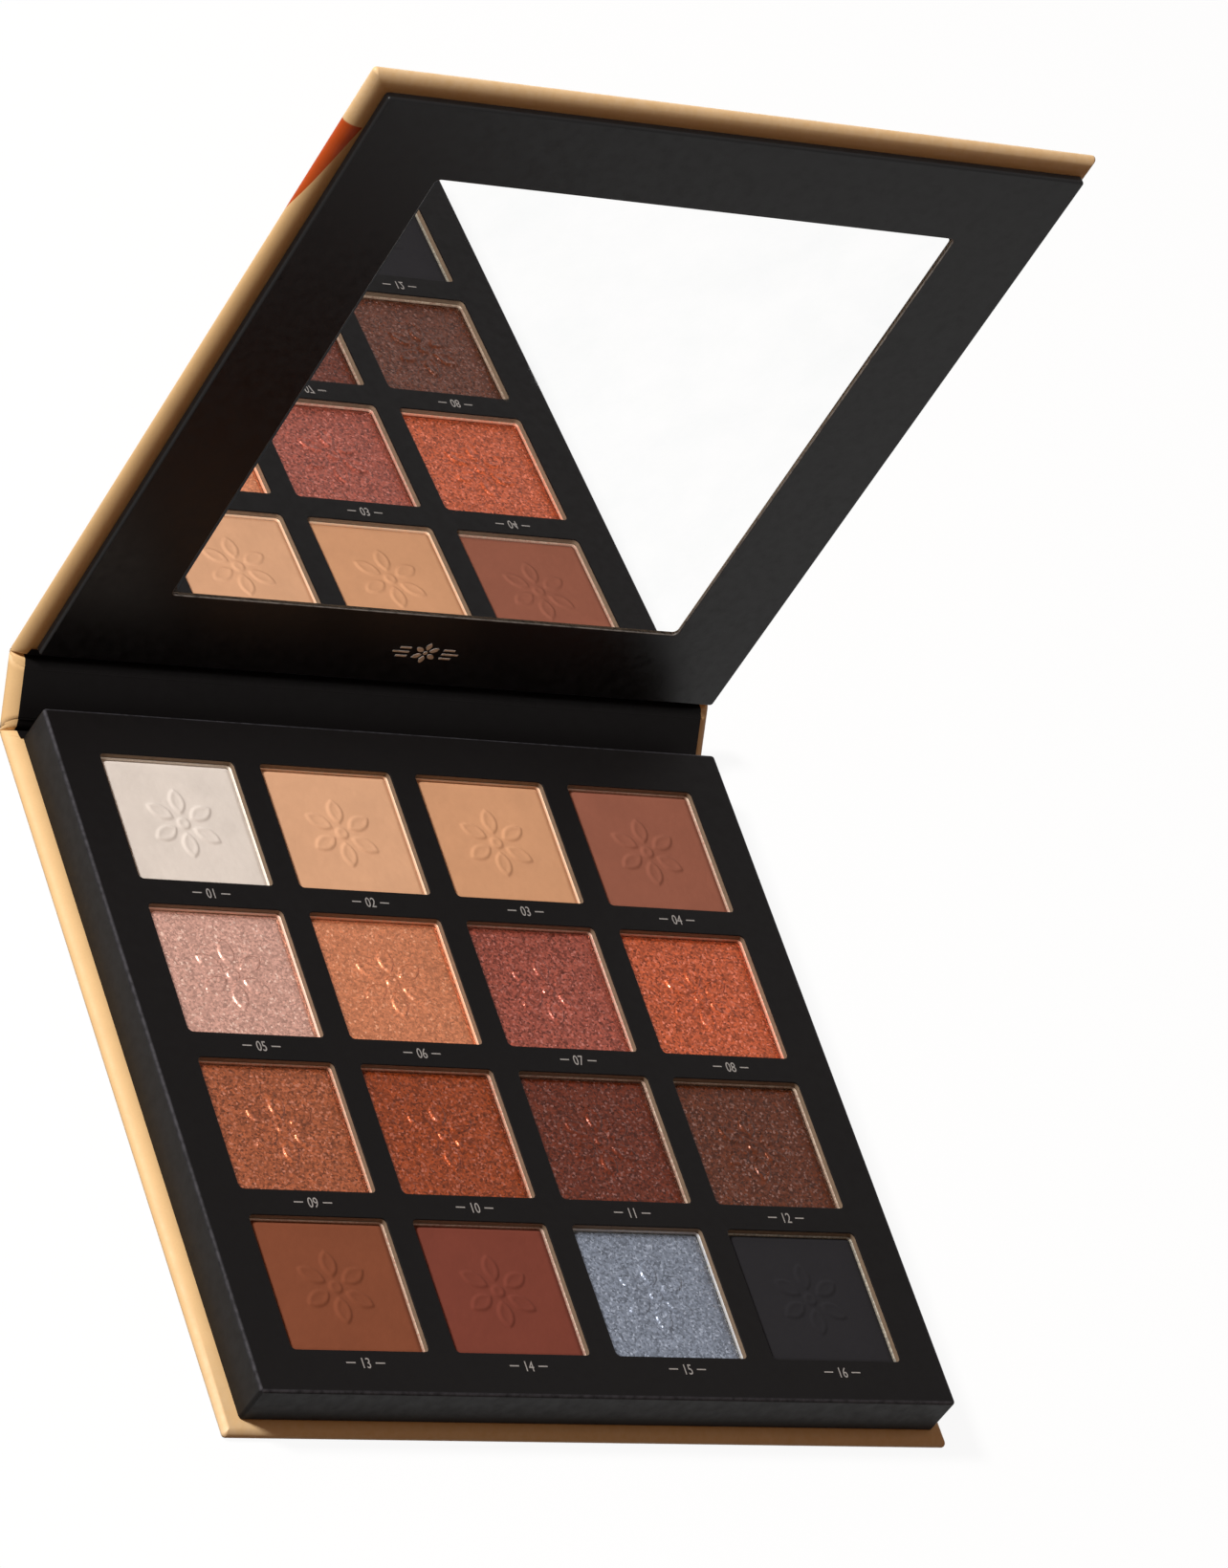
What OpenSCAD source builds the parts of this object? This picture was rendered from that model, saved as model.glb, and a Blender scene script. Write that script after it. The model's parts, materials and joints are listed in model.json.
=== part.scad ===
// Eyeshadow palette: a folding card case with a tray of pressed powders and a mirror in the lid.
// The case is a base, a spine and a lid of covered board that fold along two creases.
// Origin: centre of the base's underside. X runs along the creases, Y to the spine, Z up.

/* [Pans] */
// Pans side by side along the spine
pan_cols = 4; // [2:1:6]
// Rows of pans from the spine to the front
pan_rows = 4; // [2:1:6]
// Side of the square window over each pan
window = 22.1; // [16:0.1:32]
// Corner radius of each window
window_r = 0.8; // [0.6:0.1:3]
// Width of the bar between two windows
bar = 4.3; // [3:0.1:10]
// How far each pan reaches under the edge of its window
pan_lap = 0.15; // [0.1:0.05:0.8]
// Thickness of the tinplate of a pan
pan_t = 0.3; // [0.2:0.05:0.4]
// Room round each pan in its pocket
pan_fit = 0.15; // [0.05:0.05:0.3]
// Thickness of the glue pad under each pan
glue_t = 0.15; // [0.1:0.05:0.4]
// Side of the glue pad under each pan
glue_w = 12; // [6:0.5:15]

/* [Powder] */
// Height of the pressed face above the rim of its pan
powder_rise = 0.05; // [0:0.05:0.3]
// Width of the bevel round the pressed face
bevel_w = 0.7; // [0.4:0.05:1.2]
// Depth of the bevel round the pressed face
bevel_h = 0.35; // [0.2:0.05:0.6]
// Room between the powder and the walls of its pan
powder_fit = 0.03; // [0.02:0.01:0.08]
// Reach of the embossed rosette from its centre
rosette_r = 6; // [4:0.1:6.5]
// Radius of the dot in the middle of the rosette
dot_r = 1; // [0.5:0.1:1.3]
// Gap between that dot and the petals
dot_gap = 0.7; // [0.4:0.1:1.2]
// Width of one petal of the rosette
petal_w = 2.4; // [1:0.1:3]
// Height of the rosette above the pressed face
rosette_h = 0.18; // [0.1:0.02:0.3]

/* [Tray] */
// Height of the tray
tray_h = 6.8; // [5:0.1:12]
// Border beside the outer columns of windows
border_side = 7; // [5:0.1:15]
// Border between the front row of windows and the front of the tray
border_front = 7; // [6.4:0.1:15]
// Border between the back row of windows and the back of the tray
border_back = 7.5; // [5:0.1:15]
// Thickness of the board with the windows
face_t = 0.9; // [0.6:0.1:1.5]
// Thickness of the tray's bottom board
floor_t = 2.6; // [0.5:0.1:3.2]
// Rounding of the tray's top edges
tray_edge_r = 0.5; // [0.4:0.05:0.9]
// Corner radius of the tray seen from above
tray_corner_r = 0.6; // [0.5:0.1:3]
// Thickness of the black paper over the tray and the mirror panel
skin_t = 0.2; // [0.1:0.05:0.3]

/* [Case] */
// Thickness of the covered board of base, spine and lid
cover_t = 2; // [1.9:0.1:4]
// Thickness of the wrap paper round the boards
wrap_t = 0.25; // [0.1:0.05:0.3]
// Width of the wrap paper turned in over the inner faces
turn_in = 9; // [6:0.5:15]
// Rounding of the covered edges
edge_r = 0.55; // [0.4:0.05:0.9]
// Step from the sides of the base to the tray
margin_side = 2.4; // [1:0.1:8]
// Step from the front of the base to the tray
margin_front = 1.9; // [1:0.1:8]
// Thickness of the black liner paper
liner_t = 0.15; // [0.1:0.05:0.3]
// Bare wrap paper beside the liner at the ends of the spine
spine_liner_margin = 1.9; // [0.8:0.1:6]

/* [Mirror panel] */
// Mean step from the two sides of the lid to the mirror panel
panel_margin = 2.1; // [1:0.1:6]
// How far the mirror panel sits to the right of the middle of the lid
panel_shift = 0.6; // [-0.8:0.1:0.8]
// Step from the front of the lid to the mirror panel
panel_front = 2.7; // [1:0.1:2.9]
// Black border beside the mirror
mirror_side = 14.7; // [8:0.1:20]
// Black border between the mirror and the front of the panel
mirror_front = 13.8; // [10:0.1:20]
// Black border between the mirror and the hinge end of the panel
mirror_hinge = 14.9; // [8:0.1:20]
// Corner radius of the mirror window
mirror_r = 0.8; // [0.4:0.1:3]
// Thickness of the panel's front board
frame_t = 0.4; // [0.3:0.1:1]
// Thickness of the mirror glass
mirror_t = 0.5; // [0.4:0.1:2]
// How far the glass reaches behind the front board
mirror_lap = 2; // [1:0.1:4]
// Room round the glass in its pocket
mirror_fit = 0.2; // [0.1:0.05:0.4]
// Thickness of the tape that holds the glass
tape_t = 0.1; // [0.05:0.05:0.3]
// Width of one strip of that tape
tape_w = 12; // [6:0.5:20]
// Rounding of the panel's edges
panel_edge_r = 0.4; // [0.35:0.05:0.5]

/* [Magnets] */
// Diameter of a tray magnet and of the steel plate over it
magnet_d = 4; // [3:0.1:4.4]
// Thickness of a tray magnet
magnet_t = 1.2; // [0.8:0.1:1.6]
// Thickness of a steel plate in the lid
plate_t = 0.4; // [0.3:0.1:0.5]
// Distance between the two magnets
magnet_spread = 70; // [20:1:76]
// Room round each magnet and plate
magnet_fit = 0.05; // [0.05:0.05:0.15]

/* [Folds] */
// Radius of the rolled paper crease on each fold axis
crease_r = 0.4; // [0.3:0.05:0.6]
// Room round each crease
crease_fit = 0.1; // [0.05:0.05:0.2]
// Bare end left beside each crease
crease_end = 0.6; // [0.2:0.1:2]
// Gap between the mitred edges when the case is shut
fold_gap = 0.3; // [0.2:0.05:0.6]
// Gap between the tray and the mirror panel when the case is shut
close_gap = 0.2; // [0.1:0.05:0.6]
// Gap between the tray and the shut spine
tray_back_gap = 0.35; // [0.2:0.05:1]
// Gap between the mirror panel and the shut spine
panel_hinge_gap = 0.6; // [0.3:0.05:2]
// Angle of the spine above the table as the case stands open
spine_angle = 46; // [0:1:90]
// Angle of the lid to the spine as the case stands open
lid_angle = 41; // [0:1:90]

/* [Hidden] */
$fn = 48;
overcut = 1;
tan_paper = "#d9a766";
black_paper = "#1d1b1c";
grey_board = "#8d7f70";
tinplate = "#c9c4b8";
// Shades from the back left pan to the front right pan
shades = [
    "#e0d5ca", "#d9aa7e", "#d6a273", "#8f5346",
    "#b98479", "#c0703f", "#7f4240", "#b8512a",
    "#a8613f", "#9f4f30", "#5a3428", "#56402f",
    "#7a4731", "#70392f", "#7e8fa1", "#23262d",
];
petals = 6;

// Pans and tray
pitch = window + bar;
pan_count = pan_cols * pan_rows;
grid_w = pan_cols * window + (pan_cols - 1) * bar;
grid_d = pan_rows * window + (pan_rows - 1) * bar;
tray_w = grid_w + 2 * border_side;
tray_d = grid_d + border_front + border_back;
pan_w = window + 2 * pan_lap;
pan_r = window_r + pan_lap;
pocket_w = pan_w + 2 * pan_fit;
pocket_r = pan_r + pan_fit;
pan_top_gap = 0.05;
holder_h = tray_h - skin_t - face_t - floor_t;
pan_h = holder_h - glue_t - pan_top_gap;
powder_w = pan_w - 2 * pan_t - 2 * powder_fit;
powder_r = pan_r - pan_t - powder_fit;
powder_h = pan_h - pan_t + powder_rise;

// Case
case_w = tray_w + 2 * margin_side;
case_d = margin_front + tray_d + tray_back_gap + liner_t + cover_t;
leaf_d = case_d - crease_r;
inner_z = cover_t - crease_r;
panel_t = skin_t + frame_t + mirror_t + tape_t;
closed_t = 2 * cover_t + 2 * liner_t + tray_h + close_gap + panel_t;
spine_d = closed_t - 2 * crease_r;
axis_y = case_d / 2 - crease_r;
liner_start = inner_z + liner_t + fold_gap;
liner_w = tray_w - 2 * tray_edge_r;
spine_liner_w = case_w - 2 * spine_liner_margin;

// Where the tray stands
tray_front_y = margin_front - case_d / 2;
tray_y = tray_front_y + tray_d / 2;
tray_z = cover_t + liner_t;
floor_top_z = tray_z + floor_t;
face_z = floor_top_z + holder_h;
grid_front_y = tray_front_y + border_front;

// Mirror panel, measured along the lid from its fold axis
panel_w = case_w - 2 * panel_margin;
panel_start = inner_z + liner_t + panel_hinge_gap;
panel_d = leaf_d - panel_front - panel_start;
panel_y = panel_start + panel_d / 2;
panel_z = inner_z + liner_t;
backing_t = mirror_t + tape_t;
mirror_w = panel_w - 2 * mirror_side;
mirror_d = panel_d - mirror_front - mirror_hinge;
mirror_y = panel_start + mirror_hinge + mirror_d / 2;

// Magnets in the front border of the tray, with their plates facing them when shut
magnet_y = tray_front_y + (skin_t + border_front - pan_lap - pan_fit) / 2;
plate_y = axis_y - magnet_y;

function two_digits(i) = str(i < 9 ? "0" : "", i + 1);
function pan_name(i) = str("pan_", two_digits(i));
function powder_name(i) = str("powder_", two_digits(i));
function pan_x(i) = (i % pan_cols) * pitch + (window - grid_w) / 2;
function pan_y(i) = grid_front_y + (pan_rows - 1 - floor(i / pan_cols)) * pitch + window / 2;

// Rectangle with round corners, centred
module round_rect(w, d, r) {
    square([w - 2 * r, d], center = true);
    square([w, d - 2 * r], center = true);
    for (x = [-1, 1], y = [-1, 1])
        translate([x * (w / 2 - r), y * (d / 2 - r)])
            circle(r);
}

// Profile in Y and Z drawn out along X
module along_x(length) {
    rotate([90, 0, 90])
        linear_extrude(height = length, center = true)
            children();
}

// Profile in X and Z drawn out along Y
module along_y(length) {
    rotate([90, 0, 0])
        linear_extrude(height = length, center = true)
            children();
}

// Section through a covered board: fold axis at the origin, inner face up, free edge at +Y
module leaf_section(length, inset, folds) {
    r = edge_r - inset;
    low = inset - crease_r;
    high = inner_z - inset;
    far = folds == 2 ? length : length - inset;
    difference() {
        union() {
            translate([0, low])
                square([folds == 2 ? far : far - r, high - low]);
            if (folds == 1)
                translate([far - r, low + r])
                    square([r, high - low - 2 * r]);
            if (folds == 1)
                for (z = [low + r, high - r])
                    translate([far - r, z])
                        circle(r);
        }
        fold_cut();
        if (folds == 2)
            translate([length, 0])
                mirror([1, 0])
                    fold_cut();
    }
}

// Room for the crease and the mitre beside one fold axis
module fold_cut() {
    step = fold_gap / sqrt(2);
    top = cover_t + overcut;
    circle(crease_r + crease_fit);
    polygon([[-overcut, -step - overcut], [top + step, top], [-overcut, top]]);
}

// Covered board as a solid, its sides rounded like its free edge
module leaf(length, inset, folds) {
    intersection() {
        along_x(case_w + 2 * overcut)
            leaf_section(length, inset, folds);
        translate([0, length / 2, cover_t / 2 - crease_r])
            along_y(length + 2 * overcut)
                round_rect(case_w - 2 * inset, cover_t - 2 * inset, edge_r - inset);
    }
}

// Field of the inner face that the turned-in paper leaves bare, down to the middle of the board
module bare_field(length, folds) {
    field_d = folds == 2 ? length + 2 * overcut : length - turn_in + overcut;
    field_z = inner_z - cover_t / 2;
    translate([turn_in - case_w / 2, -overcut, field_z])
        cube([case_w - 2 * turn_in, field_d, cover_t / 2 + overcut]);
}

// Wrap paper round a board, turned in over the inner face at its free sides
module leaf_wrap(length, folds) {
    difference() {
        leaf(length, 0, folds);
        leaf(length, wrap_t, folds);
        bare_field(length, folds);
    }
}

// Board inside the wrap, level with the turned-in paper in the field that it leaves bare
module leaf_board(length, folds) {
    leaf(length, wrap_t, folds);
    intersection() {
        leaf(length, 0, folds);
        bare_field(length, folds);
    }
}

module place_base() {
    translate([0, axis_y, crease_r])
        mirror([0, 1, 0])
            children();
}

module place_spine() {
    translate([0, axis_y, crease_r])
        rotate([spine_angle, 0, 0])
            children();
}

module place_lid() {
    place_spine()
        translate([0, spine_d, 0])
            rotate([lid_angle, 0, 0])
                children();
}

// Black box with soft top edges, standing on z = 0, inset all round but the bottom
module soft_box(w, d, h, edge, corner, inset) {
    r = edge - inset;
    intersection() {
        linear_extrude(height = h - inset)
            round_rect(w - 2 * inset, d - 2 * inset, corner - inset);
        along_x(w)
            soft_top(d - 2 * inset, h - inset, r);
        along_y(d)
            soft_top(w - 2 * inset, h - inset, r);
    }
}

// Upright section with its two top corners rounded
module soft_top(w, h, r) {
    translate([-w / 2, 0])
        square([w, h - r]);
    translate([r - w / 2, 0])
        square([w - 2 * r, h]);
    for (x = [-1, 1])
        translate([x * (w / 2 - r), h - r])
            circle(r);
}

module tray_block(inset) {
    translate([0, tray_y, tray_z])
        soft_box(tray_w, tray_d, tray_h, tray_edge_r, tray_corner_r, inset);
}

// One level of the tray inside its skin
module tray_layer(z, h) {
    intersection() {
        tray_block(skin_t);
        translate([-case_w / 2, -case_d / 2, z])
            cube([case_w, case_d, h]);
    }
}

// Square holes over all pans
module pan_holes(side, r, z, h) {
    for (i = [0:pan_count - 1])
        translate([pan_x(i), pan_y(i), z])
            linear_extrude(height = h)
                round_rect(side, side, r);
}

module magnet_sites(y, z) {
    for (x = [-1, 1])
        translate([x * magnet_spread / 2, y, z])
            children();
}

module base_wrap() {
    color(tan_paper)
        place_base()
            leaf_wrap(leaf_d, 1);
}

module base_board() {
    color(grey_board)
        place_base()
            leaf_board(leaf_d, 1);
}

module base_liner() {
    front_y = tray_front_y + tray_edge_r;
    color(black_paper)
        translate([-liner_w / 2, front_y, cover_t])
            cube([liner_w, axis_y - liner_start - front_y, liner_t]);
}

module lower_crease() {
    color(tan_paper)
        place_base()
            along_x(case_w - 2 * crease_end)
                circle(crease_r);
}

module tray_floor() {
    color(grey_board)
        tray_layer(tray_z, floor_t);
}

module pan_holder() {
    pocket_z = face_z - magnet_t - magnet_fit;
    color(grey_board)
        difference() {
            tray_layer(floor_top_z, holder_h);
            pan_holes(pocket_w, pocket_r, floor_top_z - overcut, holder_h + 2 * overcut);
            magnet_sites(magnet_y, pocket_z)
                cylinder(d = magnet_d + 2 * magnet_fit, h = magnet_t + overcut);
        }
}

module tray_face() {
    color(grey_board)
        difference() {
            tray_layer(face_z, face_t);
            pan_holes(window, window_r, face_z - overcut, face_t + 2 * overcut);
        }
}

module tray_skin() {
    color(black_paper)
        difference() {
            tray_block(0);
            tray_block(skin_t);
            pan_holes(window, window_r, face_z, face_t + skin_t + overcut);
        }
}

module tray_magnets() {
    color("silver")
        magnet_sites(magnet_y, face_z - magnet_t)
            cylinder(d = magnet_d, h = magnet_t);
}

module pan_glue() {
    color("ivory")
        for (i = [0:pan_count - 1])
            translate([pan_x(i) - glue_w / 2, pan_y(i) - glue_w / 2, floor_top_z])
                cube([glue_w, glue_w, glue_t]);
}

// Square tin pan, open at the top
module pan(i) {
    color(tinplate)
        translate([pan_x(i), pan_y(i), floor_top_z + glue_t])
            difference() {
                linear_extrude(height = pan_h)
                    round_rect(pan_w, pan_w, pan_r);
                translate([0, 0, pan_t])
                    linear_extrude(height = pan_h)
                        round_rect(pan_w - 2 * pan_t, pan_w - 2 * pan_t, pan_r - pan_t);
            }
}

// Upright section of the powder with its bevelled rim
module powder_section() {
    half = powder_w / 2;
    face = half - bevel_w;
    rim = powder_h - bevel_h;
    polygon([[-half, 0], [half, 0], [half, rim], [face, powder_h], [-face, powder_h], [-half, rim]]);
}

// Lens-shaped petal along +Y, the overlap of two round arcs
module petal() {
    petal_d = rosette_r - dot_r - dot_gap;
    arc_r = (petal_d * petal_d + petal_w * petal_w) / (4 * petal_w);
    mid_y = rosette_r - petal_d / 2;
    intersection() {
        translate([arc_r - petal_w / 2, mid_y])
            circle(arc_r);
        translate([petal_w / 2 - arc_r, mid_y])
            circle(arc_r);
    }
}

// Embossed flower: a dot in a ring of petals
module rosette() {
    circle(dot_r);
    for (k = [0:petals - 1])
        rotate(k * 360 / petals)
            petal();
}

// Pressed powder with a raised rosette
module powder(i) {
    color(shades[i % len(shades)])
        translate([pan_x(i), pan_y(i), floor_top_z + glue_t + pan_t]) {
            intersection() {
                linear_extrude(height = powder_h)
                    round_rect(powder_w, powder_w, powder_r);
                along_x(powder_w)
                    powder_section();
                along_y(powder_w)
                    powder_section();
            }
            translate([0, 0, powder_h - rosette_h])
                linear_extrude(height = 2 * rosette_h)
                    rosette();
        }
}

module spine_wrap() {
    color(tan_paper)
        place_spine()
            leaf_wrap(spine_d, 2);
}

module spine_board() {
    color(grey_board)
        place_spine()
            leaf_board(spine_d, 2);
}

module spine_liner() {
    color(black_paper)
        place_spine()
            translate([-spine_liner_w / 2, liner_start, inner_z])
                cube([spine_liner_w, spine_d - 2 * liner_start, liner_t]);
}

module upper_crease() {
    color(tan_paper)
        place_spine()
            translate([0, spine_d, 0])
                along_x(case_w - 2 * crease_end)
                    circle(crease_r);
}

module lid_wrap() {
    color(tan_paper)
        place_lid()
            leaf_wrap(leaf_d, 1);
}

module lid_board() {
    color(grey_board)
        place_lid()
            leaf_board(leaf_d, 1);
}

module lid_liner() {
    liner_end = panel_start + panel_d - panel_edge_r;
    color(black_paper)
        place_lid()
            translate([panel_shift + panel_edge_r - panel_w / 2, liner_start, inner_z])
                cube([panel_w - 2 * panel_edge_r, liner_end - liner_start, liner_t]);
}

module panel_block(inset) {
    translate([panel_shift, panel_y, panel_z])
        soft_box(panel_w, panel_d, panel_t, panel_edge_r, tray_corner_r, inset);
}

// One level of the mirror panel inside its skin
module panel_layer(z, h) {
    intersection() {
        panel_block(skin_t);
        translate([-case_w / 2, 0, z])
            cube([case_w, case_d, h]);
    }
}

module mirror_hole(grow, z, h) {
    translate([panel_shift, mirror_y, z])
        linear_extrude(height = h)
            round_rect(mirror_w + 2 * grow, mirror_d + 2 * grow, mirror_r);
}

module panel_backing() {
    color(grey_board)
        place_lid()
            difference() {
                panel_layer(panel_z, backing_t);
                mirror_hole(mirror_lap + mirror_fit, panel_z - overcut, backing_t + 2 * overcut);
                magnet_sites(plate_y, panel_z + backing_t - plate_t - magnet_fit)
                    cylinder(d = magnet_d + 2 * magnet_fit, h = plate_t + overcut);
            }
}

module panel_frame() {
    color(grey_board)
        place_lid()
            difference() {
                panel_layer(panel_z + backing_t, frame_t);
                mirror_hole(0, panel_z + backing_t - overcut, frame_t + 2 * overcut);
            }
}

module panel_skin() {
    color(black_paper)
        place_lid()
            difference() {
                panel_block(0);
                panel_block(skin_t);
                mirror_hole(0, panel_z + backing_t, panel_t);
            }
}

module mirror_glass() {
    color("lightsteelblue")
        place_lid()
            mirror_hole(mirror_lap, panel_z + tape_t, mirror_t);
}

module mirror_tape() {
    color("ivory")
        place_lid()
            for (side = [-1, 1]) {
                tape_x = panel_shift + side * (mirror_w - tape_w) / 2;
                translate([tape_x - tape_w / 2, mirror_y - mirror_d / 2, panel_z])
                    cube([tape_w, mirror_d, tape_t]);
            }
}

module lid_plates() {
    color("silver")
        place_lid()
            magnet_sites(plate_y, panel_z + backing_t - plate_t)
                cylinder(d = magnet_d, h = plate_t);
}

base_wrap();
base_board();
base_liner();
lower_crease();
tray_floor();
pan_holder();
tray_face();
tray_skin();
tray_magnets();
pan_glue();
for (i = [0:pan_count - 1]) {
    pan(i);
    powder(i);
}
spine_wrap();
spine_board();
spine_liner();
upper_crease();
lid_wrap();
lid_board();
lid_liner();
panel_backing();
panel_frame();
panel_skin();
mirror_glass();
mirror_tape();
lid_plates();
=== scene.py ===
"""Looks of a folding eyeshadow palette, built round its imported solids. Units are metres."""
import json
import math

import bmesh
import bpy
from mathutils import Matrix, Vector, noise


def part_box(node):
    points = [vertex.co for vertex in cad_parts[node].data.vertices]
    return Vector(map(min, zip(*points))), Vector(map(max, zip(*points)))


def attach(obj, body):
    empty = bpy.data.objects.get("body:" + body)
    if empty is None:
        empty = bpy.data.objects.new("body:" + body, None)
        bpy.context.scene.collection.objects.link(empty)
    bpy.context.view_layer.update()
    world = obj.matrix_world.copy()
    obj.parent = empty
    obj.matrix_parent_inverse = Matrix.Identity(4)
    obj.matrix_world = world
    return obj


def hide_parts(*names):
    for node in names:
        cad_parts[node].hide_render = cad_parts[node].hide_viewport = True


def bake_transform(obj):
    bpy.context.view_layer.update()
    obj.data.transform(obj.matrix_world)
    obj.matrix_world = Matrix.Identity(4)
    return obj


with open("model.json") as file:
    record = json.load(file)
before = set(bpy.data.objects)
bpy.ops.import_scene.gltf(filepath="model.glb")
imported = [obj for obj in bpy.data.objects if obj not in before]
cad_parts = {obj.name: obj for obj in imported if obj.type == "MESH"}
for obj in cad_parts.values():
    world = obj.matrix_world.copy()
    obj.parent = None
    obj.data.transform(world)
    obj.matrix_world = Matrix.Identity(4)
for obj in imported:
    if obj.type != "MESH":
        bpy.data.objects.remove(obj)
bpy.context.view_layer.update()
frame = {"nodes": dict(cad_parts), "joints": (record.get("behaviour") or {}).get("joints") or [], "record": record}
nodes = frame["nodes"]
joints = {joint["name"]: joint for joint in frame["joints"]}
MM = 0.001

# Camera of the photograph: where it looks, from where, and how its lens is turned
AIM = Vector((27.87, 41.77, 20.0)) * MM
VIEW_AZIMUTH = math.radians(-46.247)
VIEW_ELEVATION = math.radians(40.582)
VIEW_DISTANCE = 1169.6 * MM
VIEW_ROLL = math.radians(38.075)
LENS = 183.93

# Main lamp, floor and surround
KEY_FROM = (-0.70, 0.25, 0.665)
KEY_AIM = (0.0, 0.0, 0.03)
KEY_DISTANCE = 1.5
KEY_SIZE = 0.22
KEY_POWER = 31.0
KEY_COLOUR = (1.0, 0.985, 0.965)
FLOOR_HALF = 3.0
FLOOR_DROP = 0.02 * MM
FLOOR_TONE = (0.95, 0.95, 0.95, 1.0)
FLOOR_GLOW = 0.93
WHITE = (1.0, 1.0, 1.0, 1.0)
FILL = "#ffbf88"
FILL_STRENGTH = 0.16
BOUNCE = "#4e3b26"

# Sizes of the solids that no node's box gives
WINDOW = 22.1 * MM
WINDOW_R = 0.8 * MM
SKIN_T = 0.2 * MM
TRAY_EDGE_R = 0.5 * MM
TRAY_CORNER_R = 0.6 * MM
PANEL_EDGE_R = 0.4 * MM
MIRROR_R = 0.8 * MM
MIRROR_LAP = 2.0 * MM
CREASE_R = 0.4 * MM
CREASE_FIT = 0.1 * MM
FOLD_GAP = 0.3 * MM
EDGE_R = 0.55 * MM
CASE_CORNER_R = 0.6 * MM
WRAP_T = 0.25 * MM
TURN_IN = 9.0 * MM
PAN_LAP = 0.15 * MM
PAN_T = 0.3 * MM
POWDER_FIT = 0.03 * MM
BEVEL_W = 0.7 * MM
BEVEL_H = 0.35 * MM
ROSETTE_R = 6.0 * MM
ROSETTE_H = 0.18 * MM
DOT_R = 1.0 * MM
DOT_GAP = 0.7 * MM
PETAL_W = 2.4 * MM
PETALS = 6
PAN_COLS = 4
PAN_ROWS = 4
PANS = PAN_COLS * PAN_ROWS

# Soft forms that only the scene has: lips and walls of the paper, edges of the boards, face of the mirror
LIP_R = 0.12 * MM
PANEL_LIP_R = 0.2 * MM
PANEL_LIP_CLEAR = 0.02 * MM
SHEET_SHARE = 0.9
WALL_FROM = 0.3 * MM
STEEP = 0.6
SOFT_W = 2.3 * MM
SOFT_H = 1.4 * MM
SOFT_FULL = 1.8
MIRROR_FIT = 0.4 * MM
MIRROR_SHIFT = 0.3 * MM
MIRROR_SINK = 0.2 * MM
MIRROR_TILT = math.radians(-0.25)

# Paper of the folds: its film, how far it laps on the boards, and the ridge beside the groove
FILM = 0.06 * MM
FOLD_SIDE = 0.32 * MM
FOLD_LAP = 0.3 * MM
RIDGE_V = 1.4 * MM
PILLOW_V = 1.0 * MM
GROOVE_V = 0.8 * MM
GROOVE_N = 1.3 * MM
NOTCH = 0.85 * MM

# Rubbed edges: how far the rub reaches from an edge, a corner or a fold; on the tray the rub also stands as a
# painted highlight
RUB_EDGE = 0.4 * MM
RUB_END = 0.5 * MM
RUB_FOLD = 1.2 * MM
RUB_CORNER = 4.0 * MM
TRAY_RUB_AND_HIGHLIGHT_CORNER = 2.4 * MM
TRAY_RUB_AND_HIGHLIGHT_FULL = 0.41

# Tin rims
RIM_FLARE = 0.24 * MM
RIM_RISE = 0.2 * MM
RIM_T = 0.05 * MM
RIM_FOOT = -0.12 * MM

# Orange band on the lid: its ends along the lid, how it narrows round the edge, and its soft border
BAND_LOW = 90.5 * MM
BAND_HIGH = 110.1 * MM
BAND_TAPER = 4.2
BAND_BLUR = 0.2 * MM

# Printed numbers with their lines, and the mark on the lid with its bars
INK_T = 0.02 * MM
NUMBER_H = 1.7 * MM
NUMBER_DROP = 2.9 * MM
NUMBER_NARROW = 0.72
DIGIT_SHARE = 0.7
LINE_FROM = 1.6 * MM
LINE_TO = 3.1 * MM
LINE_LOW = 0.75 * MM
LINE_HIGH = 0.95 * MM
MARK_X = 4.1 * MM
MARK_Y = 9.2 * MM
MARK_LIFT = 0.005 * MM
MARK_SCALE = 0.36
BAR_FROM = 2.8 * MM
BAR_TO = 5.6 * MM
BAR_PITCH = 0.9 * MM
BAR_HALF = 0.17 * MM

# Steps in the curves of the meshes
CORNER_STEPS = 8
SIDE_STEPS = 6
LIP_STEPS = 3
EDGE_STEPS = 5
SOFT_STEPS = 9
LENGTH_STEPS = 12
DOT_STEPS = 20
CORNERS = ((1, -1, -90), (1, 1, 0), (-1, 1, 90), (-1, -1, 180))
WELD = 1e-7
SKIN_WELD = 1e-6
SAME_LEVEL = 1e-9

# Sizes read from the frame
tray_low, tray_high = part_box("tray_skin")
tray_size = tray_high - tray_low
tray_mid = (tray_low + tray_high) / 2
base_low, base_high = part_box("base_wrap")
CASE_W = base_high.x - base_low.x
COVER_T = base_high.z - base_low.z
INNER_N = COVER_T - CREASE_R
fold_a = Vector(joints["spine_fold"]["pos_m"])
fold_b = Vector(joints["lid_fold"]["pos_m"])
SPINE_ANGLE = math.radians(-joints["spine_fold"]["range_deg"][0])
LID_ANGLE = SPINE_ANGLE + math.radians(-joints["lid_fold"]["range_deg"][0])
LEAF_D = fold_a.y - base_low.y
SPINE_D = (fold_b - fold_a).length
MITRE_STEP = FOLD_GAP / math.sqrt(2)
FOLD_V = INNER_N + MITRE_STEP

# Frames of the three covered boards: X along the fold, Y to the free edge, Z out of the inner face
WORLD_FRAME = Matrix.Identity(4)
BASE_FRAME = Matrix.Translation(fold_a) @ Matrix.Rotation(math.pi, 4, "Z")
SPINE_FRAME = Matrix.Translation(fold_a) @ Matrix.Rotation(SPINE_ANGLE, 4, "X")
LID_FRAME = Matrix.Translation(fold_b) @ Matrix.Rotation(LID_ANGLE, 4, "X")

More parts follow.
